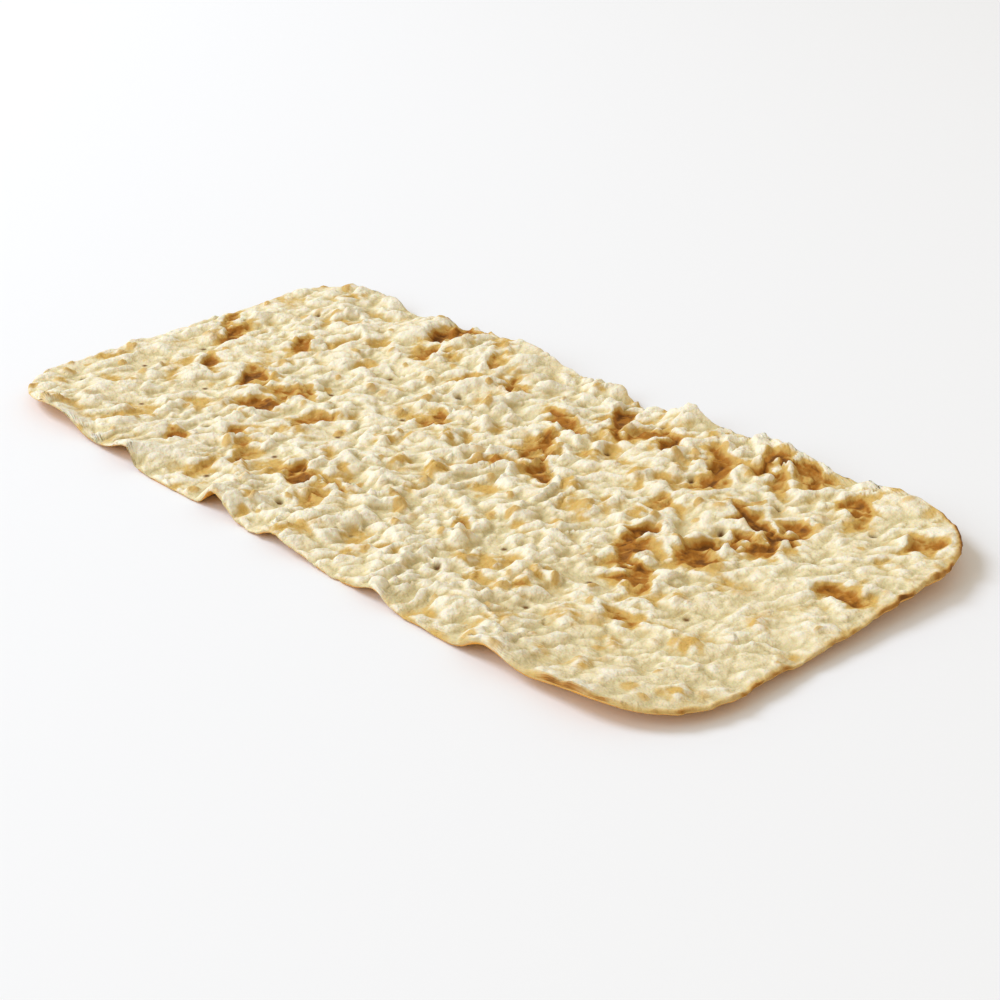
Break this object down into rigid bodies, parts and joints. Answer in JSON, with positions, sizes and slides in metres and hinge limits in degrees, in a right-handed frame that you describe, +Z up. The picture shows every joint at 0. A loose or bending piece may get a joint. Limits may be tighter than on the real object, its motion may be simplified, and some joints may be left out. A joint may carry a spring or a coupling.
{
  "type": "pizza crust",
  "caption": "Thin rectangular baked pizza crust with rounded corners, docked in rows, blistered and toasted in spots; lies flat ready for toppings.",
  "frame": {"origin": "on the surface that the crust lies on, under the middle of its outline", "axes": "+X along the crust's long side, +Y along its short side, +Z up out of the docked and toasted face"},
  "size_m": [0.305, 0.15, 0.0093],
  "materials": {
    "baked_dough": "matte baked dough, pale cream with golden ridges and toasted brown hollows"
  },
  "bodies": {
    "root": {"crust": "baked_dough"}
  },
  "joints": []
}
